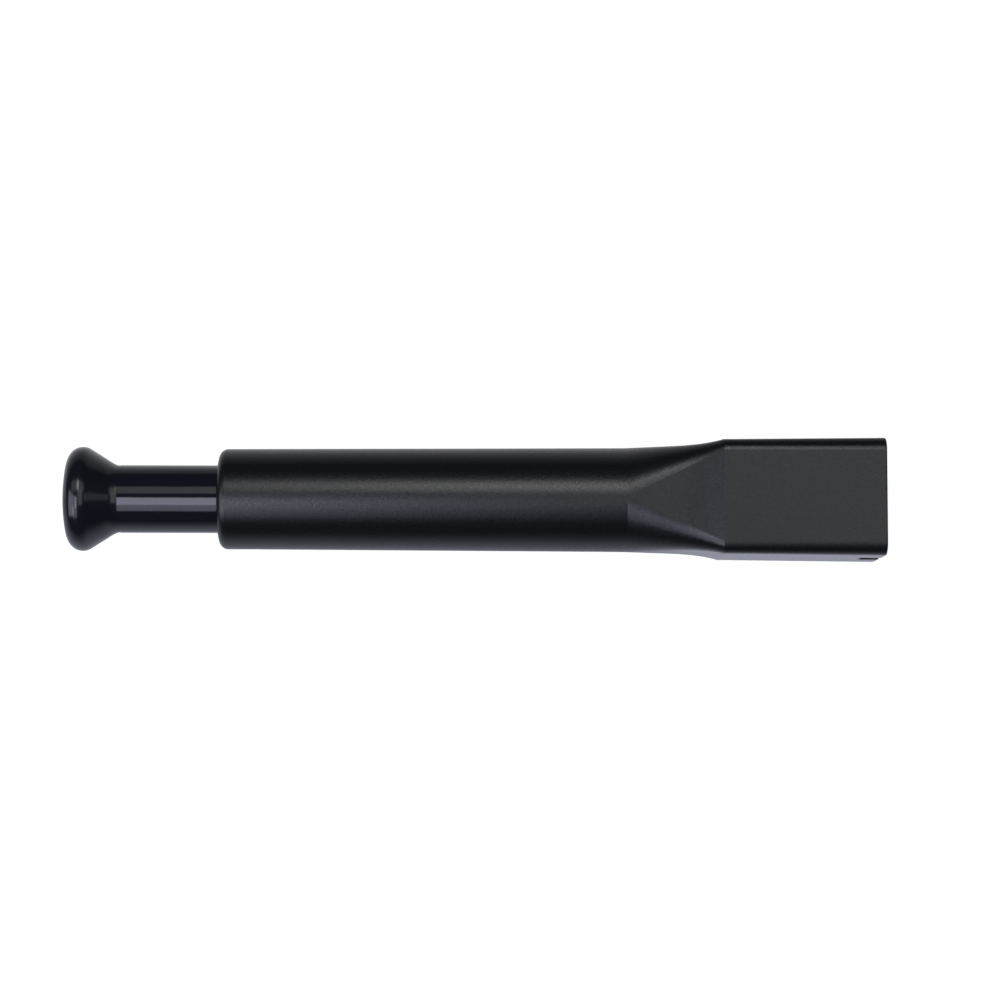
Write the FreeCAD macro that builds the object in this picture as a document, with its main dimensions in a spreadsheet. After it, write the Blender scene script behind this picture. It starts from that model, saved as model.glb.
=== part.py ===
# Keycap puller, lying on its side: a moulded handle whose square head is pushed over a keycap,
# two spring claws that snap under the cap, and a sprung plunger that ejects the cap again.
#
# Every length is in millimetres. The tool's axis lies along X, with the mouth at +X. The origin is
# under the middle of the tool, on the surface that it rests on. A "station" is a distance along the
# axis from the apex of the knob, and every piece is drawn about its own rear end and then placed at
# its station.

import FreeCAD, Part
import math
import os
import re
import Sketcher

# Driving sizes: name, value, what it is.
SIZES = [
    ("overall_length", 133.0, "knob apex to mouth"),
    ("plunger_stroke", 16.0, "travel of the plunger"),
    ("tube_rear_diameter", 16.34, "tube at its open end"),
    ("tube_front_diameter", 16.96, "tube where the head starts to grow out of it"),
    ("tube_end_radius", 1.35, "rounding of the tube's open end"),
    ("rear_wall", 5.0, "guide wall that the stem runs in"),
    ("guide_edge", 0.2, "chamfer of the stem's hole at the tube's open end"),
    ("blend_length", 15.45, "round tube to square head"),
    ("flare_length", 6.9, "last stretch of the blend, where the flats curve outwards"),
    ("head_length", 26.05, "square head, along the axis"),
    ("mouth_width", 19.0, "head across its flats at the mouth"),
    ("head_draft", 0.26, "each flat of the head stands this much further out at the mouth"),
    ("head_corner_radius", 1.9, "outer corners of the head"),
    ("mouth_edge_radius", 0.3, "outer edge of the mouth"),
    ("chamber_step", 0.8, "spring chamber beyond the stem, all round"),
    ("head_wall", 0.94, "wall of the head where the blend ends"),
    ("mouth_wall", 0.45, "wall at the mouth, thin enough to pass between keys"),
    ("socket_corner_radius", 2.2, "inner corners of the head"),
    ("mouth_taper_length", 6.0, "stretch in which the socket opens to the mouth"),
    ("claw_channel_depth", 0.35, "relief behind each claw in the side walls"),
    ("notch_length", 3.5, "claw notch in the mouth's side walls, along the axis"),
    ("notch_width", 4.0, "claw notch and claw channel, across the tool"),
    ("notch_corner_radius", 0.5, "inner corners of the claw notch"),
    ("knob_diameter", 17.0, "rim of the knob"),
    ("knob_length", 9.1, "knob apex to its seam with the stem"),
    ("knob_neck_diameter", 10.89, "knob at that seam"),
    ("knob_neck_radius", 3.0, "hollow between the knob's cone and the seam"),
    ("knob_neck_run", 0.37, "how much further along that hollow would meet its own tangent"),
    ("knob_dome_radius", 31.3, "domed face that the thumb presses"),
    ("knob_rim_radius", 2.4, "rounding of the rim"),
    ("pressed_gap", 0.3, "knob's seam to the tube when fully pressed"),
    ("stem_diameter", 11.03, "plunger stem"),
    ("stem_edge", 0.1, "chamfer of the stem at its seam with the knob"),
    ("stem_wall", 1.7, "stem round the hollow in its front end"),
    ("stem_core_depth", 14.0, "depth of that hollow"),
    ("running_clearance", 0.06, "radial gap of each sliding fit"),
    ("seat_clearance", 0.05, "radial gap of each fixed seat"),
    ("insert_wall", 1.0, "threaded insert in the knob"),
    ("insert_length", 5.0, "threaded insert in the knob"),
    ("rod_diameter", 4.0, "push rod"),
    ("rod_engagement", 4.5, "rod in the knob's insert"),
    ("rod_chamfer", 0.3, "ends of the push rod"),
    ("washer_gap", 0.2, "stop washer to the chamber, all round"),
    ("washer_thickness", 1.0, "stop washer"),
    ("clip_lip", 2.2, "retaining clip beyond the rod, all round"),
    ("clip_groove_depth", 0.4, "groove in the rod for the clip"),
    ("clip_thickness", 0.6, "retaining clip"),
    ("spring_wire", 0.9, "wire of the return spring"),
    ("spring_gap", 0.65, "return spring to the chamber, all round"),
    ("spring_turns", 11.0, "return spring"),
    ("seat_thickness", 0.8, "washer at the fixed end of the spring"),
    ("rod_gap", 0.4, "rod to the spring seat and the back of the carrier, all round"),
    ("spigot_length", 3.1, "carrier plug in the spring chamber"),
    ("carrier_thickness", 5.0, "carrier block on the socket floor"),
    ("bush_wall", 1.0, "rod bush"),
    ("bush_length", 7.0, "rod bush behind its flange"),
    ("bush_flange", 0.7, "rod bush's flange, all round"),
    ("bush_flange_thickness", 0.8, "rod bush"),
    ("carrier_screw_wall", 0.7, "carrier screws to the spring chamber"),
    ("carrier_screw_diameter", 2.0, "carrier screws"),
    ("carrier_screw_bite", 4.4, "carrier screws in the socket floor"),
    ("claw_screw_diameter", 1.6, "claw screws"),
    ("claw_screw_bite", 4.0, "claw screws in the carrier"),
    ("claw_thickness", 0.4, "spring strip"),
    ("claw_width", 3.6, "spring strip"),
    ("claw_foot_gap", 0.4, "inner end of the claw's foot to the bush"),
    ("claw_foot_edge", 0.5, "that end to the screw's hole"),
    ("claw_bend_radius", 0.6, "bends of the strip, at its middle"),
    ("claw_gap", 0.1, "strip to the bottom of its channel"),
    ("nib_reach", 0.4, "nib inwards of the strip"),
    ("nib_setback", 1.8, "nib from the mouth"),
    ("nib_ramp", 1.2, "strip to nib, along the axis"),
    ("tip_setback", 0.5, "claw tip from the mouth"),
    ("tip_flare", 0.8, "claw tip outwards of the nib"),
    ("plate_gap", 0.3, "ejector plate to the socket, all round"),
    ("plate_thickness", 2.2, "ejector plate"),
    ("plate_notch_depth", 0.9, "clearance for the claws in the plate's edges"),
    ("plate_notch_width", 4.8, "clearance for the claws in the plate's edges"),
    ("plate_recess", 0.6, "rod end let into the plate"),
    ("plate_setback", 1.5, "ejector plate to the mouth when fully pressed"),
    ("plate_room", 3.2, "carrier to ejector plate at rest, for the screw heads"),
    ("ejector_screw_diameter", 2.5, "ejector screw"),
    ("ejector_screw_length", 7.0, "ejector screw with its head"),
    ("screw_recess_depth", 0.45, "cross in each screw head"),
    ("screw_recess_slot", 0.36, "width of that cross"),
]

# Stations and lengths that follow from the sizes.
TUBE_END = "(knob_length + plunger_stroke + pressed_gap)"
STOP_FACE = f"({TUBE_END} + rear_wall)"
CLIP_STATION = f"({STOP_FACE} + washer_thickness)"
HEAD_START = "(overall_length - head_length)"
BLEND_START = f"({HEAD_START} - blend_length)"
PLATE_STATION = "(overall_length - plate_setback - plunger_stroke - plate_thickness)"
CARRIER_FRONT = f"({PLATE_STATION} - plate_room)"
SOCKET_FLOOR = f"({CARRIER_FRONT} - carrier_thickness)"
SEAT_STATION = f"({SOCKET_FLOOR} - spigot_length - seat_thickness)"
ROD_STATION = "(knob_length - rod_engagement)"
SPRING_LENGTH = f"({SEAT_STATION} - {CLIP_STATION})"

# Half widths and radii that follow from the sizes.
STEM = "(stem_diameter / 2)"
CHAMBER = f"({STEM} + chamber_step)"
HEAD_REAR = "(mouth_width / 2 - head_draft)"
SOCKET = f"({HEAD_REAR} - head_wall)"
ROD = "(rod_diameter / 2)"
BUSH = f"({ROD} + bush_wall)"
CLIP_GROOVE = f"({ROD} - clip_groove_depth)"
SPRING = f"({CHAMBER} - spring_gap - spring_wire / 2)"
CHANNEL_BOTTOM = f"({SOCKET} + claw_channel_depth)"
CLAW_LINE = f"({CHANNEL_BOTTOM} - claw_gap - claw_thickness / 2)"
CLAW_FOOT = f"({BUSH} + bush_flange + claw_foot_gap)"
CLAW_HOLE = "(claw_screw_diameter / 2 + seat_clearance)"
CLAW_SCREW = f"({CLAW_FOOT} + claw_foot_edge + {CLAW_HOLE})"
CARRIER_SCREW = f"(({CHAMBER} + carrier_screw_wall + carrier_screw_diameter / 2) / sqrt(2))"

# Share of the head's flats that each section of the blend has, from the tube to the head. The first
# one is all but round: it keeps a trace of the flats so that every section has the same eight edges.
BLEND_FLATS = (0.01, 0.25, 0.5, 0.75, 1.0)
# The spring's round wire is drawn with this many flats, which keeps a hidden coil light.
WIRE_FLATS = 6

doc = FreeCAD.newDocument("keycap_puller")
sheet = doc.addObject("Spreadsheet::Sheet", "Sizes")
for row, (size_name, size_value, meaning) in enumerate(SIZES, start=1):
    sheet.set(f"A{row}", size_name)
    sheet.set(f"B{row}", str(size_value))
    sheet.set(f"C{row}", meaning)
    sheet.setAlias(f"B{row}", size_name)
doc.recompute()
SIZE_NAMES = {size_name for size_name, size_value, meaning in SIZES}


def from_sheet(text):
    """The same formula with each size name pointing at its cell in the sheet."""
    return re.sub(r"[a-z_]+", lambda word: "Sizes." + word[0] if word[0] in SIZE_NAMES else word[0], text)


def number(text):
    """What a formula in size names comes to now."""
    return float(sheet.evalExpression(from_sheet(text)))


def bind(thing, property_path, text):
    """Tie a property of an object to a formula in size names."""
    thing.setExpression(property_path, from_sheet(text))


def new_body(label, station="0", across="0"):
    """An empty body, placed with its own origin at a station of the tool's axis."""
    body = doc.addObject("PartDesign::Body", label)
    body.Label = label
    place(body, station, across)
    return body


def place(thing, station, across="0", above="0"):
    """Stand a piece at a station, with its own axis on the tool's axis or beside it."""
    bind(thing, "Placement.Base.x", f"{station} - overall_length / 2")
    bind(thing, "Placement.Base.y", across)
    bind(thing, "Placement.Base.z", f"mouth_width / 2 + {above}")


def new_sketch(body, plane, name, offset=None):
    """A sketch on one of the body's own origin planes, moved along the plane's normal by offset."""
    sketch = body.newObject("Sketcher::SketchObject", name)
    origin_plane = [item for item in body.Origin.OriginFeatures if item.Role == plane][0]
    sketch.AttachmentSupport = [(origin_plane, "")]
    sketch.MapMode = "FlatFace"
    if offset:
        bind(sketch, "AttachmentOffset.Base.z", offset)
    return sketch


def pin_point(sketch, item, end, across, up):
    """Hold one point of a sketch at the place that two formulas give."""
    for text, kind, axis in ((across, "DistanceX", -2), (up, "DistanceY", -1)):
        if text == "0":
            sketch.addConstraint(Sketcher.Constraint("PointOnObject", item, end, axis))
        else:
            index = sketch.addConstraint(Sketcher.Constraint(kind, -1, 1, item, end, number(text)))
            bind(sketch, f"Constraints[{index}]", text)


def draw_line(sketch, corners, closed=True):
    """Straight lines from corner to corner, each corner given as two formulas."""
    spots = [FreeCAD.Vector(number(across), number(up), 0) for across, up in corners]
    pairs = list(zip(spots, spots[1:] + spots[:1] if closed else spots[1:]))
    items = [sketch.addGeometry(Part.LineSegment(start, end), False) for start, end in pairs]
    for before, after in zip(items, items[1:]):
        sketch.addConstraint(Sketcher.Constraint("Coincident", before, 2, after, 1))
    if closed:
        sketch.addConstraint(Sketcher.Constraint("Coincident", items[-1], 2, items[0], 1))
    for item, (across, up) in zip(items, corners):
        pin_point(sketch, item, 1, across, up)
    if not closed:
        pin_point(sketch, items[-1], 2, *corners[-1])
    return items


def draw_circle(sketch, radius, across="0", up="0"):
    """A circle with its centre and radius given as formulas."""
    centre = FreeCAD.Vector(number(across), number(up), 0)
    item = sketch.addGeometry(Part.Circle(centre, FreeCAD.Vector(0, 0, 1), number(radius)), False)
    if across == up == "0":
        sketch.addConstraint(Sketcher.Constraint("Coincident", item, 3, -1, 1))
    else:
        pin_point(sketch, item, 3, across, up)
    index = sketch.addConstraint(Sketcher.Constraint("Radius", item, number(radius)))
    bind(sketch, f"Constraints[{index}]", radius)


def round_corner(sketch, item, radius):
    """Round the corner at the end of a line."""
    sketch.fillet(item, 2, number(radius), True, True)
    arcs = [k for k, shape in enumerate(sketch.Geometry) if isinstance(shape, Part.ArcOfCircle)]
    index = sketch.addConstraint(Sketcher.Constraint("Radius", arcs[-1], number(radius)))
    bind(sketch, f"Constraints[{index}]", radius)


def draw_rounded_square(sketch, half, radius):
    """A square about the tool's axis, from its half width and the radius of its corners."""
    corners = [(f"-{half}", f"-{half}"), (half, f"-{half}"), (half, half), (f"-{half}", half)]
    for item in draw_line(sketch, corners):
        round_corner(sketch, item, radius)


def feature(body, kind, name, profile, **settings):
    """A PartDesign feature made from a sketch."""
    made = body.newObject("PartDesign::" + kind, name)
    made.Profile = profile
    for key, value in settings.items():
        setattr(made, key, value)
    return made


def turned(body, kind, name, corners):
    """Turn an outline of (station, radius) corners about the body's own axis."""
    profile = new_sketch(body, "XY_Plane", name + "_profile")
    items = draw_line(profile, corners)
    feature(body, kind, name, profile, ReferenceAxis=(profile, ["H_Axis"]), Angle=360.0)
    return profile, items


def pad(body, name, profile, length, **settings):
    """Pad a sketch along its normal."""
    made = feature(body, "Pad", name, profile, **settings)
    bind(made, "Length", length)
    return made


def pocket(body, name, profile, depth=None, **settings):
    """Cut a sketch into the body against its normal, to a depth or right through."""
    made = feature(body, "Pocket", name, profile, **settings)
    if depth:
        bind(made, "Length", depth)
    else:
        made.Type = "ThroughAll"
    return made


def loft(body, kind, name, sections, ruled):
    """Join sections that follow each other along the axis."""
    return feature(body, kind, name, sections[0], Sections=sections[1:], Ruled=ruled)


def faces_where(feature_object, test):
    """Names of the faces whose bounding box passes a test."""
    faces = enumerate(feature_object.Shape.Faces, start=1)
    return [f"Face{index}" for index, face in faces if test(face.BoundBox)]


def edges_where(feature_object, test):
    """Names of the edges whose bounding box passes a test."""
    edges = enumerate(feature_object.Shape.Edges, start=1)
    return [f"Edge{index}" for index, edge in edges if test(edge.BoundBox)]


def round_edges(body, name, base, test, radius):
    """Round the edges of a finished feature that pass a test."""
    doc.recompute()
    made = body.newObject("PartDesign::Fillet", name)
    made.Base = (base, edges_where(base, test))
    bind(made, "Radius", radius)
    return made


def draw_blend(body, start):
    """Tube to head: the flats widen evenly, and only the last stretch curves outwards."""
    tube_radius = "(tube_front_diameter / 2)"
    sections = []
    for part, flat_share in enumerate(BLEND_FLATS):
        share = part / (len(BLEND_FLATS) - 1)
        flared = f"max(0; 1 - (1 - {share}) * blend_length / flare_length)"
        half = f"({tube_radius} + ({HEAD_REAR} - {tube_radius}) * ({flared})^2)"
        flat = f"({flat_share} * ({HEAD_REAR} - head_corner_radius))"
        section = new_sketch(body, "YZ_Plane", f"blend_section_{part}", f"{start} + blend_length * {share}")
        draw_rounded_square(section, half, f"({half} - {flat})")
        sections.append(section)
    loft(body, "AdditiveLoft", "blend", sections, False)


def handle_shell():
    """The handle: tube, blend and square head, moulded as one hollow piece."""
    body = new_body("handle_shell", TUBE_END)
    mouth = f"(overall_length - {TUBE_END})"
    head = f"({HEAD_START} - {TUBE_END})"
    blend = f"({BLEND_START} - {TUBE_END})"
    floor = f"({SOCKET_FLOOR} - {TUBE_END})"

    outline = new_sketch(body, "YZ_Plane", "head_outline", head)
    draw_rounded_square(outline, HEAD_REAR, "head_corner_radius")
    square = pad(body, "square_head", outline, "head_length")
    doc.recompute()
    middle = number(f"{head} + head_length / 2")
    rear_face = faces_where(square, lambda box: box.XMax < middle)
    side_faces = faces_where(square, lambda box: box.XMin < middle < box.XMax)
    drafted = body.newObject("PartDesign::Draft", "head_draft")
    drafted.Base = (square, side_faces)
    drafted.NeutralPlane = (square, rear_face)
    drafted.Reversed = True
    bind(drafted, "Angle", "atan(head_draft / head_length)")
    doc.recompute()
    round_edges(body, "mouth_edge", drafted, lambda box: box.XMin > middle, "mouth_edge_radius")

    tube_rear = "tube_rear_diameter / 2"
    tube_front = "tube_front_diameter / 2"
    corners = [("0", "0"), ("0", tube_rear), (blend, tube_front), (blend, "0")]
    profile, items = turned(body, "Revolution", "tube", corners)
    round_corner(profile, items[0], "tube_end_radius")
    draw_blend(body, blend)

    stop = f"({STOP_FACE} - {TUBE_END})"
    hole = f"({STEM} + running_clearance)"
    corners = [
        ("0", "0"),
        ("0", f"{hole} + guide_edge"),
        ("guide_edge", hole),
        (stop, hole),
        (stop, CHAMBER),
        (floor, CHAMBER),
        (floor, "0"),
    ]
    turned(body, "Groove", "bore", corners)

    socket = new_sketch(body, "YZ_Plane", "socket_outline", mouth)
    draw_rounded_square(socket, SOCKET, "socket_corner_radius")
    pocket(body, "socket", socket, f"overall_length - {SOCKET_FLOOR}")

    inner = new_sketch(body, "YZ_Plane", "taper_inner", f"{mouth} - mouth_taper_length")
    draw_rounded_square(inner, SOCKET, "socket_corner_radius")
    outer = new_sketch(body, "YZ_Plane", "taper_outer", mouth)
    corner = "(head_corner_radius + head_draft - mouth_wall)"
    draw_rounded_square(outer, "(mouth_width / 2 - mouth_wall)", corner)
    loft(body, "SubtractiveLoft", "mouth_taper", [inner, outer], True)

    channel = new_sketch(body, "YZ_Plane", "channel_outline", mouth)
    reach = CHANNEL_BOTTOM
    side = "notch_width / 2"
    draw_line(channel, [(f"-{reach}", f"-{side}"), (reach, f"-{side}"), (reach, side), (f"-{reach}", side)])
    pocket(body, "claw_channels", channel, f"overall_length - {CARRIER_FRONT} + claw_gap")

    notch = new_sketch(body, "XZ_Plane", "notch_outline")
    inner_end = f"({mouth} - notch_length)"
    beyond = f"({mouth} + 1)"
    corners = [(beyond, side), (inner_end, side), (inner_end, f"-{side}"), (beyond, f"-{side}")]
    items = draw_line(notch, corners)
    round_corner(notch, items[0], "notch_corner_radius")
    round_corner(notch, items[1], "notch_corner_radius")
    pocket(body, "claw_notches", notch, Midplane=True)

    pilots = new_sketch(body, "YZ_Plane", "pilot_circles", floor)
    for sign in ("", "-"):
        spot = f"{sign}{CARRIER_SCREW}"
        draw_circle(pilots, "carrier_screw_diameter / 2", spot, spot)
    body.Tip = pocket(body, "screw_pilots", pilots, "carrier_screw_bite + 0.3")
    return body


def claw_carrier():
    """Moulded block on the socket's floor: it holds the claws and closes the spring chamber."""
    body = new_body("claw_carrier", SOCKET_FLOOR)
    block = new_sketch(body, "YZ_Plane", "block_outline")
    draw_rounded_square(block, f"({SOCKET} - seat_clearance)", "socket_corner_radius")
    pad(body, "block", block, "carrier_thickness")
    spigot = new_sketch(body, "YZ_Plane", "spigot_outline")
    draw_circle(spigot, f"{CHAMBER} - seat_clearance")
    pad(body, "spigot", spigot, "spigot_length", Reversed=True)
    seat = "(bush_length - carrier_thickness)"
    corners = [
        ("-spigot_length", "0"),
        ("-spigot_length", f"{ROD} + rod_gap"),
        (f"-{seat}", f"{ROD} + rod_gap"),
        (f"-{seat}", BUSH),
        ("carrier_thickness", BUSH),
        ("carrier_thickness", "0"),
    ]
    turned(body, "Groove", "bush_bore", corners)
    clearance = new_sketch(body, "YZ_Plane", "clearance_circles", "carrier_thickness")
    for sign in ("", "-"):
        spot = f"{sign}{CARRIER_SCREW}"
        draw_circle(clearance, "carrier_screw_diameter / 2 + seat_clearance", spot, spot)
    pocket(body, "screw_clearances", clearance, "carrier_thickness")
    pilots = new_sketch(body, "YZ_Plane", "pilot_circles", "carrier_thickness")
    for sign in ("", "-"):
        draw_circle(pilots, "claw_screw_diameter / 2", f"{sign}{CLAW_SCREW}", "0")
    body.Tip = pocket(body, "claw_pilots", pilots, "claw_screw_bite + 0.3")
    return body


def rod_bush():
    """Flanged bush that guides the push rod in the carrier."""
    body = new_body("rod_bush", f"({CARRIER_FRONT} - bush_length)")
    bore = f"({ROD} + running_clearance)"
    front = "(bush_length + bush_flange_thickness)"
    corners = [
        ("0", bore),
        ("0", BUSH),
        ("bush_length", BUSH),
        ("bush_length", f"{BUSH} + bush_flange"),
        (front, f"{BUSH} + bush_flange"),
        (front, bore),
    ]
    turned(body, "Revolution", "bush", corners)
    return body


def ring(label, station, outer_radius, inner_radius, thickness):
    """A plain washer."""
    body = new_body(label, station)
    outline = new_sketch(body, "YZ_Plane", "ring_outline")
    draw_circle(outline, outer_radius)
    draw_circle(outline, inner_radius)
    pad(body, "ring", outline, thickness)
    return body


def spring_seat():
    """Steel washer against the carrier, for the fixed end of the spring."""
    outer = f"{CHAMBER} - seat_clearance * 2"
    return ring("spring_seat", SEAT_STATION, outer, f"{ROD} + rod_gap", "seat_thickness")


def left_claw():
    """Spring-steel strip: a screwed foot, a long leaf in its channel, and a nib that snaps."""
    body = new_body("left_claw", CARRIER_FRONT, CLAW_FOOT)
    route = new_sketch(body, "XY_Plane", "strip_route")
    leaf = f"({CLAW_LINE} - {CLAW_FOOT})"
    nib = f"(overall_length - {CARRIER_FRONT} - nib_setback)"
    tip = f"(overall_length - {CARRIER_FRONT} - tip_setback)"
    corners = [
        ("claw_thickness / 2", "0"),
        ("claw_thickness / 2", leaf),
        (f"{nib} - nib_ramp", leaf),
        (nib, f"{leaf} - nib_reach"),
        (tip, f"{leaf} - nib_reach + tip_flare"),
    ]
    for item in draw_line(route, corners, closed=False)[:-1]:
        round_corner(route, item, "claw_bend_radius")
    section = new_sketch(body, "XZ_Plane", "strip_section")
    half = "claw_width / 2"
    corners = [("0", f"-{half}"), ("claw_thickness", f"-{half}"), ("claw_thickness", half), ("0", half)]
    draw_line(section, corners)
    strip = feature(body, "AdditivePipe", "strip", section, Spine=(route, []))
    hole = new_sketch(body, "YZ_Plane", "foot_hole_circle", "claw_thickness")
    draw_circle(hole, CLAW_HOLE, f"claw_foot_edge + {CLAW_HOLE}")
    holed = pocket(body, "foot_hole", hole, "claw_thickness")
    doc.recompute()
    tip_end = strip.Shape.BoundBox.XMax

    def at_tip_corner(box):
        return box.XMin > tip_end - number("claw_thickness") and box.ZLength < 1e-6

    body.Tip = round_edges(body, "tip_corners", holed, at_tip_corner, "claw_width / 4")
    return body


def right_claw(claw):
    """The same claw on the other side wall."""
    mirrored = doc.addObject("Part::Mirroring", "right_claw")
    mirrored.Label = "right_claw"
    mirrored.Source = claw
    mirrored.Normal = FreeCAD.Vector(0, 1, 0)
    return mirrored


def screw(label, station, across, above, diameter, length, head_radius, head_height, grip_face):
    """A screw whose head stands on the face at its station, with a cross recess in the head.

    The head is a raised one, or a countersunk one where grip_face is the cone's smaller end.
    """
    body = doc.addObject("PartDesign::Body", label)
    body.Label = label
    place(body, station, across, above)
    shank = f"({diameter} / 2)"
    corners = [
        (f"-({length})", "0"),
        (f"-({length})", f"{shank} / 2"),
        (f"-({length}) + {shank} / 2", shank),
        (f"-({grip_face})", shank),
        ("0", head_radius),
        (head_height, head_radius),
        (head_height, "0"),
    ]
    if head_height == "0":
        corners = corners[:5] + [("0", "0")]
    turned(body, "Revolution", "turned_blank", corners)
    recess = new_sketch(body, "YZ_Plane", "recess_outline", None if head_height == "0" else head_height)
    slot = "screw_recess_slot / 2"
    arm = f"({head_radius}) * 0.6"
    corners = []
    quarter = [(slot, arm), (slot, slot), (arm, slot)]
    for across_sign, up_sign, order in (("", "", 1), ("", "-", -1), ("-", "-", 1), ("-", "", -1)):
        for across_value, up_value in quarter[::order]:
            corners.append((across_sign + across_value, up_sign + up_value))
    draw_line(recess, corners)
    body.Tip = pocket(body, "cross_recess", recess, "screw_recess_depth")
    return body


def screw_pair(label, one, point_mirrored):
    """Two like screws in one node: the second stands opposite the first."""
    other = doc.addObject("Part::Mirroring", label + "_far")
    other.Source = one
    other.Normal = FreeCAD.Vector(0, 1, 0)
    if point_mirrored:
        upright = other
        other = doc.addObject("Part::Mirroring", label + "_far_below")
        other.Source = upright
        other.Normal = FreeCAD.Vector(0, 0, 1)
        bind(other, "Base.z", "mouth_width / 2")
    pair = doc.addObject("Part::Compound", label)
    pair.Label = label
    pair.Links = [one, other]
    return pair


def claw_screws():
    """The two small screws through the claws' feet."""
    station = f"({CARRIER_FRONT} + claw_thickness)"
    length = "claw_thickness + claw_screw_bite"
    one = screw("claw_screw", station, CLAW_SCREW, "0", "claw_screw_diameter", length,
                "claw_screw_diameter * 0.8", "claw_screw_diameter / 2", "0")
    return screw_pair("claw_screws", one, False)


def carrier_screws():
    """The two screws through the carrier into the socket's floor."""
    length = "carrier_thickness + carrier_screw_bite"
    one = screw("carrier_screw", CARRIER_FRONT, CARRIER_SCREW, CARRIER_SCREW,
                "carrier_screw_diameter", length, "carrier_screw_diameter * 0.85",
                "carrier_screw_diameter * 0.6", "0")
    return screw_pair("carrier_screws", one, True)


def knob():
    """Glossy thumb knob: a shallow dome, a full rounded rim, and a cone that hollows into the stem."""
    body = new_body("knob")
    profile = new_sketch(body, "XY_Plane", "knob_profile")
    dome = number("knob_dome_radius")
    rim = number("knob_rim_radius")
    hollow = number("knob_neck_radius")
    rim_height = "(knob_diameter / 2 - knob_rim_radius)"
    hollow_station = "(knob_length + knob_neck_run)"
    facing = FreeCAD.Vector(0, 0, 1)

    def arc(centre, radius, start_angle, end_angle):
        circle = Part.Circle(centre, facing, radius)
        return profile.addGeometry(Part.ArcOfCircle(circle, start_angle, end_angle))

    dome_centre = FreeCAD.Vector(dome, 0, 0)
    rim_station = dome - math.sqrt((dome - rim) ** 2 - number(rim_height) ** 2)
    rim_centre = FreeCAD.Vector(rim_station, number(rim_height), 0)
    seam = FreeCAD.Vector(number("knob_length"), number("knob_neck_diameter / 2"), 0)
    hollow_height = seam.y + math.sqrt(hollow ** 2 - number("knob_neck_run") ** 2)
    hollow_centre = FreeCAD.Vector(number(hollow_station), hollow_height, 0)
    dome_end = math.atan2(rim_centre.y, rim_centre.x - dome)
    across = hollow_centre - rim_centre
    cone_normal = math.atan2(across.y, across.x) + math.acos((rim + hollow) / across.Length)
    outwards = FreeCAD.Vector(math.cos(cone_normal), math.sin(cone_normal), 0)
    seam_angle = math.atan2(seam.y - hollow_centre.y, seam.x - hollow_centre.x)

    dome_arc = arc(dome_centre, dome, dome_end, math.pi)
    rim_arc = arc(rim_centre, rim, cone_normal, dome_end)
    cone_start = rim_centre + outwards * rim
    cone = profile.addGeometry(Part.LineSegment(cone_start, hollow_centre - outwards * hollow))
    neck_arc = arc(hollow_centre, hollow, cone_normal + math.pi, seam_angle + 2 * math.pi)
    foot = FreeCAD.Vector(seam.x, 0, 0)
    base = profile.addGeometry(Part.LineSegment(seam, foot))
    axis = profile.addGeometry(Part.LineSegment(foot, FreeCAD.Vector(0, 0, 0)))

    def hold(kind, *places):
        return profile.addConstraint(Sketcher.Constraint(kind, *places))

    hold("Coincident", dome_arc, 2, -1, 1)
    hold("PointOnObject", dome_arc, 3, -1)
    hold("Tangent", dome_arc, 1, rim_arc, 2)
    hold("Tangent", rim_arc, 1, cone, 1)
    hold("Tangent", cone, 2, neck_arc, 1)
    hold("Coincident", neck_arc, 2, base, 1)
    hold("Coincident", base, 2, axis, 1)
    hold("Coincident", axis, 2, -1, 1)
    hold("PointOnObject", base, 2, -1)
    hold("Vertical", base)
    radii = ((dome_arc, "knob_dome_radius"), (rim_arc, "knob_rim_radius"), (neck_arc, "knob_neck_radius"))
    for item, radius in radii:
        bind(profile, f"Constraints[{hold('Radius', item, number(radius))}]", radius)
    height_index = hold("DistanceY", -1, 1, rim_arc, 3, number(rim_height))
    bind(profile, f"Constraints[{height_index}]", rim_height)
    station_index = hold("DistanceX", -1, 1, neck_arc, 3, number(hollow_station))
    bind(profile, f"Constraints[{station_index}]", hollow_station)
    pin_point(profile, neck_arc, 2, "knob_length", "knob_neck_diameter / 2")
    feature(body, "Revolution", "turned_knob", profile, ReferenceAxis=(profile, ["H_Axis"]), Angle=360.0)

    depth = "(knob_length - insert_length - stem_edge)"
    corners = [
        (depth, "0"),
        (depth, f"{ROD} + insert_wall"),
        ("knob_length", f"{ROD} + insert_wall"),
        ("knob_length", "0"),
    ]
    turned(body, "Groove", "insert_hole", corners)
    return body


def knob_insert():
    """Brass insert in the knob, grooved so that it can't pull out."""
    body = new_body("knob_insert", "(knob_length - insert_length)")
    outer = f"({ROD} + insert_wall)"
    waist = f"({outer} - insert_wall / 3)"
    corners = [
        ("0", ROD),
        ("0", outer),
        ("insert_length * 0.35", outer),
        ("insert_length * 0.45", waist),
        ("insert_length * 0.55", waist),
        ("insert_length * 0.65", outer),
        ("insert_length", outer),
        ("insert_length", ROD),
    ]
    turned(body, "Revolution", "insert", corners)
    return body


def plunger_stem():
    """Glossy moulded stem: it runs in the rear wall and is cored out from its front end."""
    body = new_body("plunger_stem", "knob_length")
    length = f"({STOP_FACE} - knob_length)"
    core = f"({STEM} - stem_wall)"
    bore = f"({ROD} + seat_clearance)"
    corners = [
        ("0", bore),
        ("0", f"{STEM} - stem_edge"),
        ("stem_edge", STEM),
        (length, STEM),
        (length, core),
        (f"{length} - stem_core_depth", core),
        (f"{length} - stem_core_depth", bore),
    ]
    turned(body, "Revolution", "stem", corners)
    return body


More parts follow.
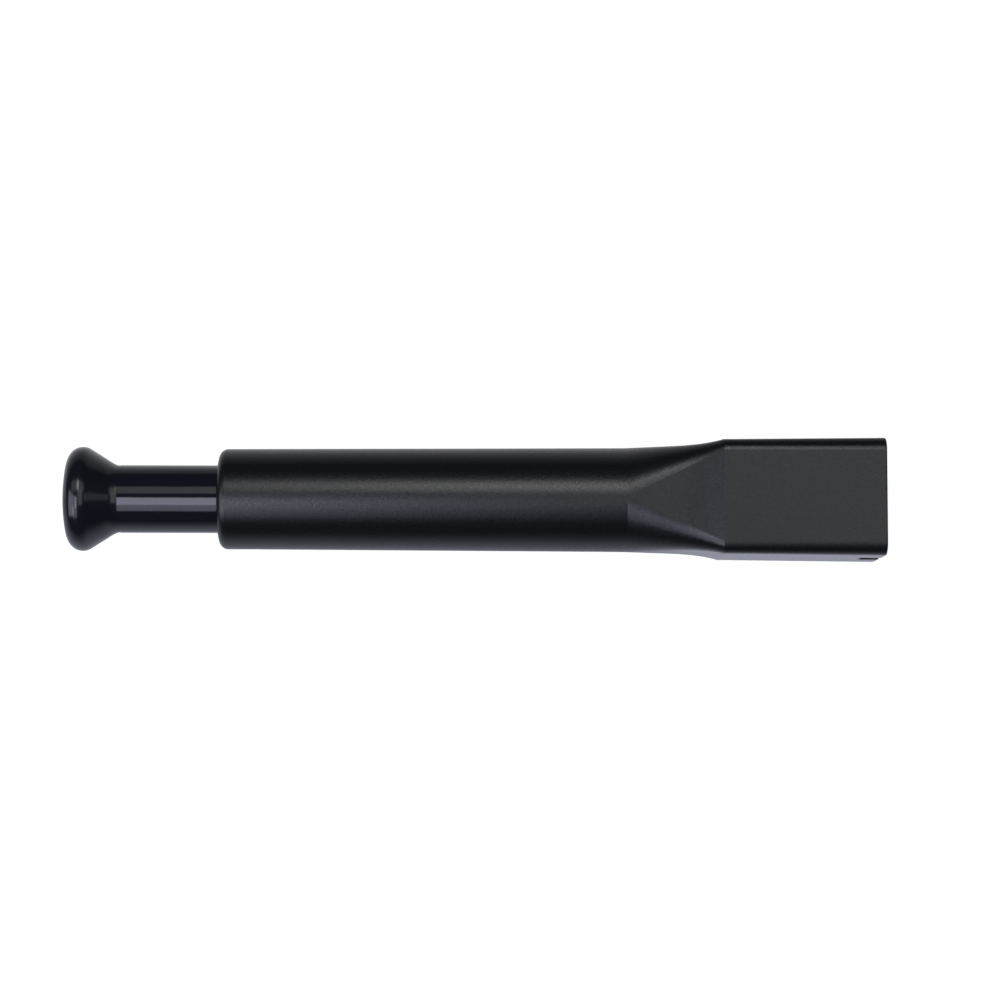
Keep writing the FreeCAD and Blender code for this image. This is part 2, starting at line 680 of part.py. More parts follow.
def push_rod():
    """Steel rod from the knob's insert to the ejector plate."""
    body = new_body("push_rod", ROD_STATION)
    length = f"({PLATE_STATION} + plate_recess - {ROD_STATION})"
    clip = f"({CLIP_STATION} - {ROD_STATION})"
    corners = [
        ("0", "0"),
        ("0", f"{ROD} - rod_chamfer"),
        ("rod_chamfer", ROD),
        (clip, ROD),
        (clip, CLIP_GROOVE),
        (f"{clip} + clip_thickness", CLIP_GROOVE),
        (f"{clip} + clip_thickness", ROD),
        (f"{length} - rod_chamfer", ROD),
        (length, f"{ROD} - rod_chamfer"),
        (length, "0"),
    ]
    turned(body, "Revolution", "rod", corners)
    tapped = new_sketch(body, "YZ_Plane", "tapped_circle", length)
    draw_circle(tapped, "ejector_screw_diameter / 2")
    body.Tip = pocket(body, "tapped_hole", tapped, "ejector_screw_length")
    return body


def stop_washer():
    """Washer that stops the plunger against the rear wall and carries the spring."""
    outer = f"{CHAMBER} - washer_gap"
    return ring("stop_washer", STOP_FACE, outer, f"{ROD} + seat_clearance", "washer_thickness")


def retaining_clip():
    """Clip in the rod's groove, open at one side so that it snaps on."""
    outer = f"({ROD} + clip_lip)"
    body = ring("retaining_clip", CLIP_STATION, outer, CLIP_GROOVE, "clip_thickness")
    gap = new_sketch(body, "YZ_Plane", "gap_outline", "clip_thickness")
    side = f"{CLIP_GROOVE} * 0.84"
    corners = [(f"-{side}", "0"), (side, "0"), (side, f"{outer} * 2"), (f"-{side}", f"{outer} * 2")]
    draw_line(gap, corners)
    body.Tip = pocket(body, "gap", gap, "clip_thickness")
    return body


def return_spring():
    """Compression spring with ground ends, from the stop washer to the fixed seat."""
    body = new_body("return_spring", CLIP_STATION)
    wire = new_sketch(body, "XY_Plane", "wire_section")
    corners = []
    for flat in range(WIRE_FLATS):
        turn = f"{360 / WIRE_FLATS * flat} deg"
        corners.append((f"spring_wire / 2 * cos({turn})", f"{SPRING} + spring_wire / 2 * sin({turn})"))
    draw_line(wire, corners)
    coil = feature(body, "AdditiveHelix", "coil", wire, ReferenceAxis=(wire, ["H_Axis"]))
    coil.Mode = "height-turns-angle"
    bind(coil, "Height", SPRING_LENGTH)
    bind(coil, "Turns", "spring_turns")
    rear = new_sketch(body, "YZ_Plane", "rear_grinding")
    draw_circle(rear, CHAMBER)
    pocket(body, "ground_rear_end", rear)
    front = new_sketch(body, "YZ_Plane", "front_grinding", SPRING_LENGTH)
    draw_circle(front, CHAMBER)
    body.Tip = pocket(body, "ground_front_end", front, Reversed=True)
    return body


def ejector_plate():
    """Square plate that pushes the cap out, with notches that clear the claws."""
    body = new_body("ejector_plate", PLATE_STATION)
    outline = new_sketch(body, "YZ_Plane", "plate_outline")
    edge = f"({SOCKET} - plate_gap)"
    step = f"({edge} - plate_notch_depth)"
    side = "plate_notch_width / 2"
    lower_right = [(edge, f"-{edge}"), (edge, f"-{side}"), (step, f"-{side}")]
    right = lower_right + [(step, side), (edge, side), (edge, edge)]
    left = [(f"-{across}", up) for across, up in right[::-1]]
    items = draw_line(outline, right + left)
    for item in (items[4], items[5], items[10], items[11]):
        round_corner(outline, item, "socket_corner_radius - plate_gap")
    pad(body, "plate", outline, "plate_thickness")
    rod_hole = f"({ROD} + seat_clearance)"
    screw_hole = "(ejector_screw_diameter / 2 + seat_clearance)"
    sink = "(ejector_screw_diameter * 0.45)"
    corners = [
        ("0", "0"),
        ("0", rod_hole),
        ("plate_recess", rod_hole),
        ("plate_recess", screw_hole),
        (f"plate_thickness - {sink}", screw_hole),
        ("plate_thickness", f"{screw_hole} + {sink}"),
        ("plate_thickness", "0"),
    ]
    turned(body, "Groove", "countersunk_hole", corners)
    return body


def ejector_screw():
    """Countersunk screw that holds the plate on the rod, its head level with the plate."""
    station = f"({PLATE_STATION} + plate_thickness)"
    sink = "ejector_screw_diameter * 0.45"
    return screw("ejector_screw", station, "0", "0", "ejector_screw_diameter", "ejector_screw_length",
                 f"ejector_screw_diameter / 2 + {sink}", "0", sink)


claw = left_claw()
pieces = [
    handle_shell(),
    claw_carrier(),
    rod_bush(),
    spring_seat(),
    claw,
    right_claw(claw),
    claw_screws(),
    carrier_screws(),
    knob(),
    knob_insert(),
    plunger_stem(),
    push_rod(),
    stop_washer(),
    retaining_clip(),
    return_spring(),
    ejector_plate(),
    ejector_screw(),
]
doc.recompute()

for item in doc.Objects:
    if {"Invalid", "Error"} & set(item.State):
        raise RuntimeError(f"{item.Label} failed: {item.State}")
os.makedirs("parts", exist_ok=True)
for piece in pieces:
    if piece.Shape.isNull() or not piece.Shape.isValid():
        raise RuntimeError(f"{piece.Label} has no valid shape")
for piece in pieces:
    piece.Shape.exportStep(f"parts/{piece.Label}.step")
    box = piece.Shape.BoundBox
    print(f"{piece.Label}: {len(piece.Shape.Solids)} solids, {piece.Shape.Volume:.2f} mm3, "
          f"x {box.XMin:.2f} to {box.XMax:.2f}, z {box.ZMin:.2f} to {box.ZMax:.2f}")
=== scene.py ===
# %% [markdown]
# A keycap puller, dressed for a product picture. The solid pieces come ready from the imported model,
# so this lesson gives them their finishes, winds the one piece that has to change its length, and
# sets the small studio in which black plastic looks black and still shows its form.

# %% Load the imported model
import bpy
import math
from mathutils import Euler, Matrix, Vector


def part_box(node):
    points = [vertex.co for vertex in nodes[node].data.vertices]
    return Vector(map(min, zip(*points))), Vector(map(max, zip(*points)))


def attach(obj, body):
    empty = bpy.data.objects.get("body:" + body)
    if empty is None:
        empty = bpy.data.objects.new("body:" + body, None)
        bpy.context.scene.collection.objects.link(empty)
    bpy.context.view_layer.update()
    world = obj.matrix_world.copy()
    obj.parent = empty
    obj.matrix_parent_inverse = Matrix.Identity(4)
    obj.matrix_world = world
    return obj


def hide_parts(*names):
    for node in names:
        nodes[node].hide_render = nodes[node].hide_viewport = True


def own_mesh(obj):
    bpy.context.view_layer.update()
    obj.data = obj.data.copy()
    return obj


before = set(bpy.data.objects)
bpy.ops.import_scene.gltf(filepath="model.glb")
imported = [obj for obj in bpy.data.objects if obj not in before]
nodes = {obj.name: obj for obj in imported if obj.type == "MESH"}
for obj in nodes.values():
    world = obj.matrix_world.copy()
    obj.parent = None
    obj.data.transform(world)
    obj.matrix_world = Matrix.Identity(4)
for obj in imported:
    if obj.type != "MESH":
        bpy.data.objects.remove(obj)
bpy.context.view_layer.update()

MM = 0.001
AXIS_HEIGHT = sum(corner.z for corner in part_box("handle_shell")) / 2
print("pieces:", len(nodes), "axis above the floor:", round(AXIS_HEIGHT / MM, 2), "mm")

# %% [markdown]
# Every finish is a node tree on the Principled shader. A colour is noted as a designer would note it,
# in sRGB hex, and one function turns it into the shader's linear numbers. A second adds a node, with
# its settings and with a value or a link for each input. A third makes a material, whose plain numbers
# are set on the shader itself.

# %% Colours, nodes and materials


def colour(hex_text):
    """The linear colour of an sRGB hex value."""
    parts = [int(hex_text[at:at + 2], 16) / 255 for at in (1, 3, 5)]
    linear = [part / 12.92 if part <= 0.04045 else ((part + 0.055) / 1.055) ** 2.4 for part in parts]
    return linear + [1.0]


def add(tree, kind, inputs=None, **settings):
    """A node with its settings, each input, by name or place, given a value or another's output."""
    node = tree.nodes.new(kind)
    for name, value in settings.items():
        setattr(node, name, value)
    for key, value in (inputs or {}).items():
        if isinstance(value, bpy.types.NodeSocket):
            tree.links.new(value, node.inputs[key])
        else:
            node.inputs[key].default_value = value
    return node


def finish(name, numbers):
    """A material with one Principled shader, its sockets set directly."""
    material = bpy.data.materials.new(name)
    material.use_nodes = True
    tree = material.node_tree
    tree.nodes.clear()
    surface = add(tree, "ShaderNodeBsdfPrincipled", numbers)
    add(tree, "ShaderNodeOutputMaterial", {"Surface": surface.outputs["BSDF"]})
    return material, tree, surface


# %% [markdown]
# A finish also has relief, which breaks up its reflections. Noise gives it, on coordinates that stay
# with the piece and are centred on the tool's axis. Where a tool or a mould left marks in one
# direction, the coordinates are squeezed that way, which draws the blotches out into lines. Their
# size and their depth are lengths, as a surface gauge would give them. The noise runs from 0 to 1,
# and nearly all of it lies between the hollow and the crest that are named here.

# %% Relief
HOLLOW = 0.3
CREST = 0.7


def pattern_place(tree, stretch=(1, 1, 1)):
    """Object coordinates centred on the tool's axis, squeezed where a finish has a direction."""
    place = add(tree, "ShaderNodeTexCoord").outputs["Object"]
    shift = (0, 0, -AXIS_HEIGHT * stretch[2])
    centred = add(tree, "ShaderNodeMapping", {"Vector": place, "Location": shift, "Scale": stretch})
    return centred.outputs["Vector"]


def relief(tree, surface, place, size, depth, detail=2.0):
    """Blotches of a size and a depth, over any relief that the surface has. Gives their height."""
    blotches = add(tree, "ShaderNodeTexNoise", {"Vector": place, "Scale": 1 / size, "Detail": detail})
    height = blotches.outputs["Fac"]
    raised = add(tree, "ShaderNodeBump", {"Height": height, "Distance": depth})
    earlier = [link.from_socket for link in surface.inputs["Normal"].links]
    if earlier:
        tree.links.new(earlier[0], raised.inputs["Normal"])
    tree.links.new(raised.outputs["Normal"], surface.inputs["Normal"])
    return height


def vary_roughness(tree, surface, height, least, most):
    """Roughness that follows a relief, from least in its hollows to most on its crests."""
    spread = add(tree, "ShaderNodeMapRange", {
        "Value": height, "From Min": HOLLOW, "From Max": CREST, "To Min": least, "To Max": most})
    tree.links.new(spread.outputs["Result"], surface.inputs["Roughness"])


# %% [markdown]
# The handle is black ABS, moulded in a spark-eroded tool. The erosion leaves shallow craters a tenth
# of a millimetre or two across, which the eye reads as a dry, even surface that glitters a little
# inside its highlights. Two sizes of blotch make the craters. They are drawn about twice as coarse as
# real ones, since finer ones would fall between the picture's pixels.

# %% Handle: spark-eroded black ABS
CRATER = 0.24 * MM
DIMPLE = CRATER * 2.6
EROSION_DEPTH = 0.012 * MM
ABS_IOR = 1.54

handle_abs, tree, surface = finish(
    "spark_eroded_black_abs", {"Base Color": colour("#0b0c0e"), "Roughness": 0.3, "IOR": ABS_IOR})
place = pattern_place(tree)
craters = relief(tree, surface, place, CRATER, EROSION_DEPTH, 3.0)
relief(tree, surface, place, DIMPLE, EROSION_DEPTH, 1.0)
vary_roughness(tree, surface, craters, 0.26, 0.36)
print("handle:", handle_abs.name, "with craters of", round(CRATER / MM, 2), "mm")

# %% [markdown]
# The knob and the stem are the same plastic from a polished tool. A gloss is never perfect: a faint
# waviness and hair-fine polishing lines break a reflection's edge. On the stem the lines run along,
# the way that it was drawn out of its mould. Real ones are finer than a pixel of the picture, so
# they are drawn a third of a millimetre wide.

# %% Stem: polished black ABS
GLOSS_BLACK = "#12151b"
POLISH_LINE = 0.35 * MM
STEM_LINE_DEPTH = 0.0012 * MM
WAVE = 4 * MM
WAVE_DEPTH = 0.02 * MM

plunger_gloss, tree, surface = finish(
    "polished_black_abs", {"Base Color": colour(GLOSS_BLACK), "Roughness": 0.1, "IOR": ABS_IOR})
relief(tree, surface, pattern_place(tree, (0.06, 1, 1)), POLISH_LINE, STEM_LINE_DEPTH)
relief(tree, surface, pattern_place(tree), WAVE, WAVE_DEPTH, 1.0)
print("stem:", plunger_gloss.name, "with lines of", round(POLISH_LINE / MM, 2), "mm")

# %% [markdown]
# The knob's mould was turned, so its lines run round. At the very middle of its dome the solid's
# facets meet in a point. There the surface takes its direction from the dome's own sphere, as if each
# spot looked straight away from the sphere's middle, and the reflection stays whole.

# %% Knob: the same plastic from a turned mould
DOME_RADIUS = 31.3 * MM
POLE_RADIUS = 1.1 * MM
KNOB_LINE_DEPTH = 0.0016 * MM

knob_gloss, tree, surface = finish(
    "polished_black_abs_turned", {"Base Color": colour(GLOSS_BLACK), "Roughness": 0.17, "IOR": ABS_IOR})
dome_middle = (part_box("knob")[0].x + DOME_RADIUS, 0, AXIS_HEIGHT)
place = add(tree, "ShaderNodeTexCoord").outputs["Object"]
from_middle = add(tree, "ShaderNodeVectorMath", {0: place, 1: dome_middle}, operation="SUBTRACT")
away = add(tree, "ShaderNodeVectorMath", {0: from_middle.outputs["Vector"]}, operation="NORMALIZE")
from_axis = add(tree, "ShaderNodeVectorMath", {0: pattern_place(tree, (0, 1, 1))}, operation="LENGTH")
at_pole = add(tree, "ShaderNodeMath", {
    0: from_axis.outputs["Value"], 1: POLE_RADIUS}, operation="LESS_THAN")
facing = add(tree, "ShaderNodeMix", {
    "Factor": at_pole.outputs["Value"],
    "A": add(tree, "ShaderNodeNewGeometry").outputs["Normal"],
    "B": away.outputs["Vector"],
}, data_type="VECTOR")
tree.links.new(facing.outputs["Result"], surface.inputs["Normal"])
relief(tree, surface, pattern_place(tree, (1, 0.04, 0.04)), POLISH_LINE, KNOB_LINE_DEPTH)
relief(tree, surface, pattern_place(tree), WAVE, WAVE_DEPTH, 1.0)
print("knob:", knob_gloss.name, "dome's middle at", round(dome_middle[0] / MM, 2), "mm")

# %% [markdown]
# Two plastics work inside. The carrier is moulded nylon, dull and faintly pebbled. The ejector plate is
# acetal, a waxy plastic that is milled from bar, so fine cutter lines cross its face.

# %% Inner plastics
PEBBLE = 0.4 * MM
PEBBLE_DEPTH = 0.01 * MM
CUTTER_LINE = 0.3 * MM
CUTTER_DEPTH = 0.004 * MM

carrier_nylon, tree, surface = finish(
    "moulded_dark_nylon", {"Base Color": colour("#26272a"), "Roughness": 0.5, "IOR": 1.53})
relief(tree, surface, pattern_place(tree), PEBBLE, PEBBLE_DEPTH)

plate_acetal, tree, surface = finish(
    "milled_dark_acetal", {"Base Color": colour("#2a2b2e"), "Roughness": 0.36, "IOR": 1.48})
relief(tree, surface, pattern_place(tree, (1, 0.05, 1)), CUTTER_LINE, CUTTER_DEPTH)
print("inner plastics:", carrier_nylon.name, plate_acetal.name)

# %% [markdown]
# The metals differ in colour, in how rough they are and in which way their marks run. The claws are
# rolled strip, blued by its heat treatment, with marks along it. The spring is drawn wire. The rod was
# ground and the brass was turned, so their marks run round. The screws and washers are zinc plated,
# which leaves a soft sparkle with no direction. A metal is rougher on its crests than in its hollows.
# These marks too are drawn coarser than real ones, a tenth or two of a millimetre wide.

# %% Metals
LEAST_SHARE = 0.8
MOST_SHARE = 1.25


def metal(name, hex_text, roughness, mark, stretch, depth):
    """A metal whose tool marks run the way that stretch is smallest."""
    material, tree, surface = finish(
        name, {"Base Color": colour(hex_text), "Metallic": 1.0, "Roughness": roughness})
    marks = relief(tree, surface, pattern_place(tree, stretch), mark, depth, 3.0)
    vary_roughness(tree, surface, marks, roughness * LEAST_SHARE, roughness * MOST_SHARE)
    return material


spring_strip = metal("blued_spring_strip", "#33353a", 0.34, 0.12 * MM, (0.05, 1, 1), 0.002 * MM)
spring_wire = metal("drawn_spring_wire", "#a9abae", 0.28, 0.2 * MM, (1, 1, 1), 0.002 * MM)
ground_rod = metal("ground_steel_rod", "#b4b6b8", 0.2, 0.1 * MM, (1, 0.05, 0.05), 0.001 * MM)
zinc_plate = metal("bright_zinc_plate", "#b9bdc2", 0.3, 0.15 * MM, (1, 1, 1), 0.002 * MM)
turned_brass = metal("turned_brass", "#c9a45a", 0.26, 0.12 * MM, (1, 0.05, 0.05), 0.002 * MM)
print("materials so far:", len(bpy.data.materials))

# %% Give each piece its finish
FINISHES = {
    "handle_shell": handle_abs,
    "claw_carrier": carrier_nylon,
    "rod_bush": turned_brass,
    "spring_seat": zinc_plate,
    "left_claw": spring_strip,
    "right_claw": spring_strip,
    "claw_screws": zinc_plate,
    "carrier_screws": zinc_plate,
    "knob": knob_gloss,
    "knob_insert": turned_brass,
    "plunger_stem": plunger_gloss,
    "push_rod": ground_rod,
    "stop_washer": zinc_plate,
    "retaining_clip": spring_strip,
    "return_spring": spring_wire,
    "ejector_plate": plate_acetal,
    "ejector_screw": zinc_plate,
}
for name, material in FINISHES.items():
    nodes[name].data.materials.clear()
    nodes[name].data.materials.append(material)
print("finished pieces:", len(FINISHES))

# %% [markdown]
# The return spring has to change its length as the plunger slides, so it is wound here and takes the
# place of the plain solid one. A compression spring is a round wire on a helix. Its first and last
# turns lie close together, and both ends are ground flat so that it stands square on its washers.
# The solid's wire is six-sided, and from its middle it reaches only sin 60 degrees of its radius
# outwards, which gives the radius of the helix from the solid's box.

# %% The spring's sizes
SPRING_WIRE = 0.9 * MM
CLOSED_PITCH = 0.94 * MM
OPEN_TURNS = 9
LOW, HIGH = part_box("return_spring")
SIX_SIDED_REACH = math.sin(math.radians(60)) / 2
COIL_RADIUS = (HIGH.y - LOW.y) / 2 - SIX_SIDED_REACH * SPRING_WIRE
OPEN_PITCH = (HIGH.x - LOW.x - 2 * CLOSED_PITCH) / OPEN_TURNS
print("spring radius:", round(COIL_RADIUS / MM, 2), "mm, open pitch:", round(OPEN_PITCH / MM, 2), "mm")

# %% [markdown]
# The Screw modifier winds a small circle, which is the wire's section, round the X axis. Three
# lengths of helix, each of whole turns, meet exactly where the pitch changes. They are wound round
# the world's own axis and moved up to the tool's axis once they are one piece.

# %% Wind three lengths of wire
SECTION_SIDES = 12
STEPS_A_TURN = 36
CLOSE_ENOUGH = 0.001 * MM


def wind(name, start_x, pitch, turns):
    """A length of wire, wound round the X axis from one station on."""
    bpy.ops.object.select_all(action="DESELECT")
    bpy.ops.mesh.primitive_circle_add(
        vertices=SECTION_SIDES, radius=SPRING_WIRE / 2, fill_type="NOTHING",
        location=(start_x, 0, COIL_RADIUS), rotation=(math.pi / 2, 0, 0))
    coil = bpy.context.object
    coil.name = name
    bpy.ops.object.transform_apply(location=True, rotation=True, scale=True)
    screw = coil.modifiers.new("winding", "SCREW")
    screw.axis = "X"
    screw.iterations = turns
    screw.screw_offset = pitch
    screw.steps = STEPS_A_TURN
    screw.render_steps = STEPS_A_TURN
    screw.use_merge_vertices = True
    screw.merge_threshold = CLOSE_ENOUGH
    bpy.ops.object.modifier_apply(modifier="winding")
    return coil


lengths = [
    wind("spring_rear_turn", LOW.x, CLOSED_PITCH, 1),
    wind("spring_open_turns", LOW.x + CLOSED_PITCH, OPEN_PITCH, OPEN_TURNS),
    wind("spring_front_turn", HIGH.x - CLOSED_PITCH, CLOSED_PITCH, 1),
]
print("lengths of wire:", [length.name for length in lengths])

# %% Join and weld the lengths
WELD = 0.01 * MM
bpy.ops.object.select_all(action="DESELECT")
for length in lengths:
    length.select_set(True)
bpy.context.view_layer.objects.active = lengths[0]
bpy.ops.object.join()
wound_spring = bpy.context.object
wound_spring.name = "wound_return_spring"
bpy.ops.object.mode_set(mode="EDIT")
bpy.ops.mesh.select_all(action="SELECT")
bpy.ops.mesh.remove_doubles(threshold=WELD)
bpy.ops.object.mode_set(mode="OBJECT")
print("points in the wire:", len(wound_spring.data.vertices))

# %% [markdown]
# Bisect cuts each end along the face of its washer. Its usual threshold keeps the points that lie
# within 0.1 mm of that plane, so the cut is flat only to that much, and it stays partly open. Both
# ends are hidden inside the handle. A closed face would need the wire's two ends capped before the
# cut, and a finer threshold.

# %% Grind both ends
bpy.ops.object.mode_set(mode="EDIT")
for face_x, outwards in ((LOW.x, -1), (HIGH.x, 1)):
    bpy.ops.mesh.select_all(action="SELECT")
    bpy.ops.mesh.bisect(
        plane_co=(face_x, 0, 0), plane_no=(outwards, 0, 0), use_fill=True,
        clear_outer=True, clear_inner=False)
bpy.ops.mesh.select_all(action="SELECT")
bpy.ops.mesh.normals_make_consistent(inside=False)
bpy.ops.object.mode_set(mode="OBJECT")
print("points after grinding:", len(wound_spring.data.vertices))

# %% Set the spring on the tool's axis
ROUND_UNDER = math.radians(35)
wound_spring.location = (0, 0, AXIS_HEIGHT)
bpy.ops.object.transform_apply(location=True, rotation=True, scale=True)
bpy.ops.object.shade_smooth_by_angle(angle=ROUND_UNDER)
wound_spring.data.materials.append(spring_wire)
print("spring triangles:", sum(len(face.vertices) - 2 for face in wound_spring.data.polygons))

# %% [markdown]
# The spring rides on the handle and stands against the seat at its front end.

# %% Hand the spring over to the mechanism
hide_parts("return_spring")
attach(wound_spring, "handle")
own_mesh(wound_spring)

# %% [markdown]
# The tool lies on a plain white floor. The paint itself is mid grey, so that the floor sends little
# light back up and the black stays black. The camera's rays see a glow added to it, which makes the
# floor white and leaves the soft shadow on it. A ray that has come through clear material counts as
# the camera's own.

# %% Floor, white to the camera
FLOOR_SIZE = 6.0
FLOOR_WHITE = 0.93


def seen_directly(tree):
    """1 for a ray from the camera or through clear material, and 0 for any other."""
    rays = add(tree, "ShaderNodeLightPath").outputs
    either = {0: rays["Is Camera Ray"], 1: rays["Is Transmission Ray"]}
    return add(tree, "ShaderNodeMath", either, operation="MAXIMUM").outputs["Value"]


bpy.ops.object.select_all(action="DESELECT")
bpy.ops.mesh.primitive_plane_add(size=FLOOR_SIZE, location=(0, 0, 0))
floor = bpy.context.object
floor.name = "floor"
floor_paint, tree, surface = finish(
    "white_floor", {"Base Color": colour("#808082"), "Roughness": 0.9, "Specular IOR Level": 0.0})
floor.data.materials.append(floor_paint)
white_glow = add(tree, "ShaderNodeMath", {0: seen_directly(tree), 1: FLOOR_WHITE}, operation="MULTIPLY")
print("floor:", FLOOR_SIZE, "m wide, glow for the camera:", FLOOR_WHITE)

# %% [markdown]
# Mirrored rays see a glow that falls off with the distance from the tool. Each round piece then has a
# bright rim that fades into a deep dark band, as black plastic has on a lit table. The table below
# gives the glow's strength by the distance across the tool in millimetres, from the near side to the
# far side. Beside the head, whose near wall mirrors the floor to the camera, the glow is stronger.

# %% Glow for mirrored rays
POOL_EDGE = 100
POOL_GLOW = (
    (-100, 0.04), (-67, 0.11), (-37, 0.34), (-25, 0.46), (-9, 0.46), (0, 0.36),
    (8, 0.60), (16, 0.50), (27, 0.30), (45, 0.15), (100, 0.08))
HEAD_STRIP_MIDDLE = -17.5 * MM
HEAD_STRIP_HALF = 8.5 * MM
HEAD_STRIP_START = 24 * MM
HEAD_STRIP_FULL = 36 * MM
HEAD_STRIP_GLOW = 0.42

ground = add(tree, "ShaderNodeTexCoord").outputs["Object"]
spot = add(tree, "ShaderNodeSeparateXYZ", {"Vector": ground}).outputs
over_pool = add(tree, "ShaderNodeMapRange", {
    "Value": spot["Y"], "From Min": -POOL_EDGE * MM, "From Max": POOL_EDGE * MM})
pool = add(tree, "ShaderNodeValToRGB", {"Fac": over_pool.outputs["Result"]})
stops = pool.color_ramp.elements
while len(stops) < len(POOL_GLOW):
    stops.new(0.5)
for stop, (distance, glow) in zip(stops, POOL_GLOW):
    stop.position = (distance + POOL_EDGE) / (2 * POOL_EDGE)
    stop.color = (glow, glow, glow, 1)
beside_head = add(tree, "ShaderNodeMath", {
    0: spot["Y"], 1: HEAD_STRIP_MIDDLE, 2: HEAD_STRIP_HALF}, operation="COMPARE")
along_head = add(tree, "ShaderNodeMapRange", {
    "Value": spot["X"], "From Min": HEAD_STRIP_START, "From Max": HEAD_STRIP_FULL,
    "To Max": HEAD_STRIP_GLOW})
pool_glow = add(tree, "ShaderNodeMath", {
    0: beside_head.outputs["Value"], 1: along_head.outputs["Result"], 2: pool.outputs["Color"],
}, operation="MULTIPLY_ADD")
print("pool:", [(round(stop.position, 3), round(stop.color[0], 2)) for stop in stops])

# %% Join the two glows, with a bluish tint on the near side
NEAR_TINT = "#e7ebff"
TINT_FADE = 5 * MM

mirrored = add(tree, "ShaderNodeLightPath").outputs["Is Glossy Ray"]
mirrored_glow = add(tree, "ShaderNodeMath", {
    0: mirrored, 1: pool_glow.outputs["Value"]}, operation="MULTIPLY")
whole_glow = add(tree, "ShaderNodeMath", {
    0: white_glow.outputs["Value"], 1: mirrored_glow.outputs["Value"]}, operation="MAXIMUM")
tree.links.new(whole_glow.outputs["Value"], surface.inputs["Emission Strength"])
near_side = add(tree, "ShaderNodeMapRange", {
    "Value": spot["Y"], "From Min": -TINT_FADE, "From Max": 0, "To Min": 1, "To Max": 0})
near_mirrored = add(tree, "ShaderNodeMath", {
    0: mirrored, 1: near_side.outputs["Result"]}, operation="MULTIPLY")
tint = add(tree, "ShaderNodeMix", {
    "Factor": near_mirrored.outputs["Value"], "A": colour("#ffffff"), "B": colour(NEAR_TINT),
}, data_type="RGBA")
tree.links.new(tint.outputs["Result"], surface.inputs["Emission Color"])
print("nodes in the floor's paint:", len(tree.nodes))

# %% [markdown]
# The room above is dim and a little blue, since black plastic shows nothing but what it mirrors. To
# the camera it is white, like the floor.

# %% Room
ROOM_BLUE = "#d9e2ff"
ROOM_STRENGTH = 0.06

world = bpy.data.worlds.new("studio_room")
bpy.context.scene.world = world
world.use_nodes = True
tree = world.node_tree
tree.nodes.clear()
room = add(tree, "ShaderNodeBackground", {"Color": colour(ROOM_BLUE), "Strength": ROOM_STRENGTH})
white = add(tree, "ShaderNodeBackground", {"Color": colour("#ffffff"), "Strength": 1.0})
mixed = add(tree, "ShaderNodeMixShader", {
    0: seen_directly(tree), 1: room.outputs["Background"], 2: white.outputs["Background"]})
add(tree, "ShaderNodeOutputWorld", {"Surface": mixed.outputs["Shader"]})
print("room:", world.name, "strength:", ROOM_STRENGTH)

# %% [markdown]
# Soft lamps draw the form. A long one on the far side gives the upper highlight along the tube and
# the stem, with a brighter one before it over the middle. A bluish pair on the near side, towards the
# knob's end, gives the second streak, and a faint one fills in beside them. A broad one above the
# head lights its flat. One low lamp at each end catches the dome of the knob and the rim of the mouth.

# %% The lamps' maker
FAR_WHITE = "#ffffff"
NEAR_BLUE = "#e4e9ff"
END_BLUE = "#eef1ff"


def soft_lamp(name, distance, towards_y, towards_x, width_y, length_x, radiance, hex_text):
    """An area lamp that faces the tool. Its angles are from straight above, in degrees."""
    data = bpy.data.lights.new(name, "AREA")
    data.shape = "RECTANGLE"
    data.size = length_x
    data.size_y = width_y
    data.color = colour(hex_text)[:3]
    data.energy = radiance * math.pi * length_x * width_y
    lamp = bpy.data.objects.new(name, data)
    bpy.context.scene.collection.objects.link(lamp)
    slope_x = math.tan(math.radians(towards_x))
    slope_y = math.tan(math.radians(towards_y))
    direction = Vector((slope_x, slope_y, 1)).normalized()
    lamp.location = Vector((0, 0, AXIS_HEIGHT)) + direction * distance
    along = (Vector((1, 0, 0)) - direction * direction.x).normalized()
    across = direction.cross(along)
    lamp.rotation_euler = Matrix((along, across, direction)).transposed().to_euler()
    lamp.visible_camera = False
    return lamp


# %% [markdown]
# Each line gives a lamp's distance in metres, its angles towards the far side and towards the mouth,
# its width across the tool and its length along it in metres, and how bright its face is.

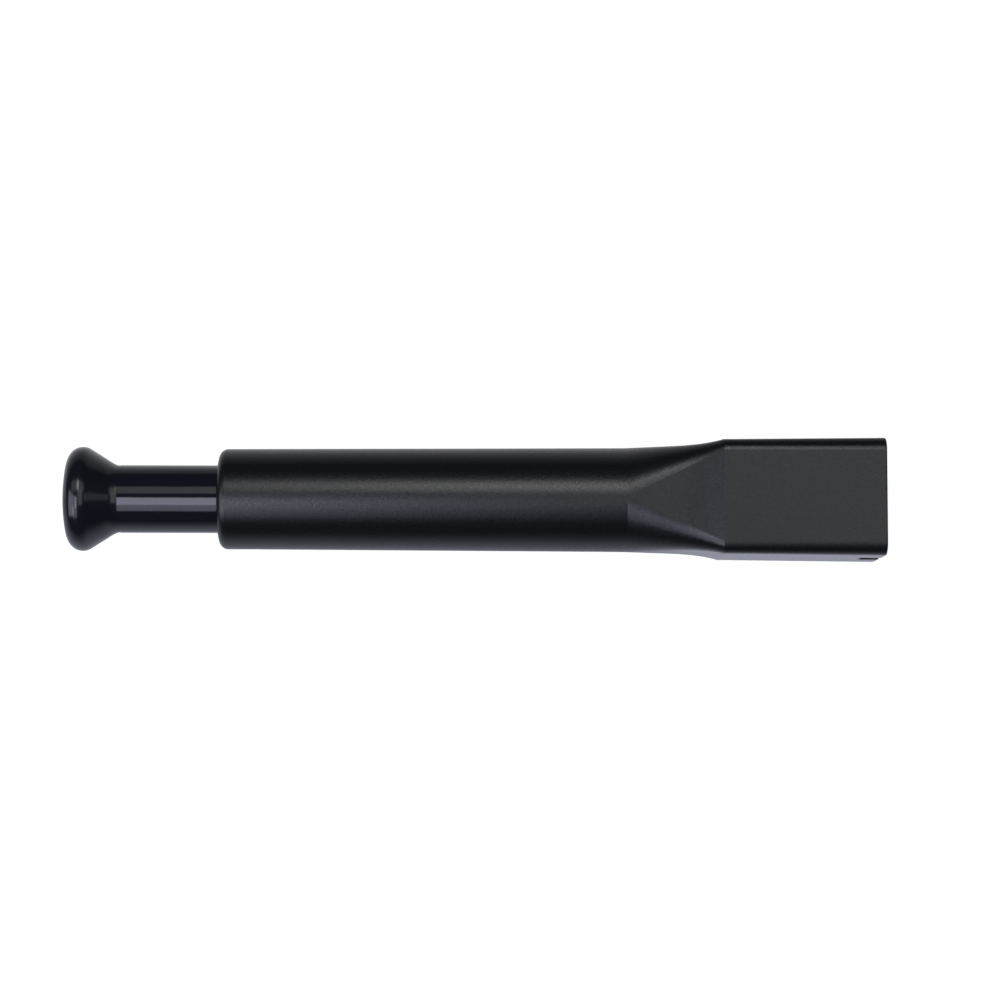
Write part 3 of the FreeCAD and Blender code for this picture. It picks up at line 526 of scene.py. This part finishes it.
# %% Studio: lamps
soft_lamp("key_lamp", 0.82, 25.4, 0, 0.34, 1.5, 0.72, FAR_WHITE)
soft_lamp("key_middle_lamp", 0.8, 25.4, 2, 0.26, 0.18, 3.9, FAR_WHITE)
soft_lamp("strip_lamp", 0.8, -12.6, -14.2, 0.34, 0.23, 4.2, NEAR_BLUE)
soft_lamp("strip_edge_lamp", 0.82, -35.6, -26, 0.32, 0.50, 1.75, NEAR_BLUE)
soft_lamp("near_lamp", 0.84, -25.6, -3, 0.34, 0.40, 0.16, NEAR_BLUE)
soft_lamp("top_lamp", 0.9, -1.6, 20.5, 0.52, 0.55, 0.94, FAR_WHITE)
soft_lamp("knob_end_lamp", 0.6, -19.6, -50, 0.46, 0.46, 2.2, END_BLUE)
soft_lamp("mouth_end_lamp", 0.6, 2.4, 56, 0.16, 0.24, 0.42, END_BLUE)
print("lamps:", len(bpy.data.lights))

# %% [markdown]
# The picture is taken from nearly straight above, 0.45 m from the tool, tipped a few degrees to the
# near side, so that the near wall of the head shows with its notch, and turned a trace. The focal
# length follows from how large the tool stands in the frame.

# %% Camera
CAMERA_DISTANCE = 0.45
CAMERA_TIP = 5.2
CAMERA_TURN = 0.14
PIXELS_ACROSS = 1000
PIXELS_PER_MM = 6.1285
SENSOR = 36.0
AIM = Vector((4.53 * MM, -0.02 * MM, AXIS_HEIGHT))

camera_data = bpy.data.cameras.new("camera")
camera = bpy.data.objects.new("camera", camera_data)
bpy.context.scene.collection.objects.link(camera)
bpy.context.scene.camera = camera
camera.rotation_euler = Euler((math.radians(CAMERA_TIP), 0, math.radians(CAMERA_TURN)))
camera.location = AIM + camera.rotation_euler.to_matrix() @ Vector((0, 0, CAMERA_DISTANCE))
camera_data.sensor_width = SENSOR
camera_data.lens = SENSOR * PIXELS_PER_MM / MM * CAMERA_DISTANCE / PIXELS_ACROSS
camera_data.clip_start = 0.01
camera_data.clip_end = 20
bpy.context.scene.view_settings.view_transform = "Standard"
print("focal length:", round(camera_data.lens, 2), "mm")
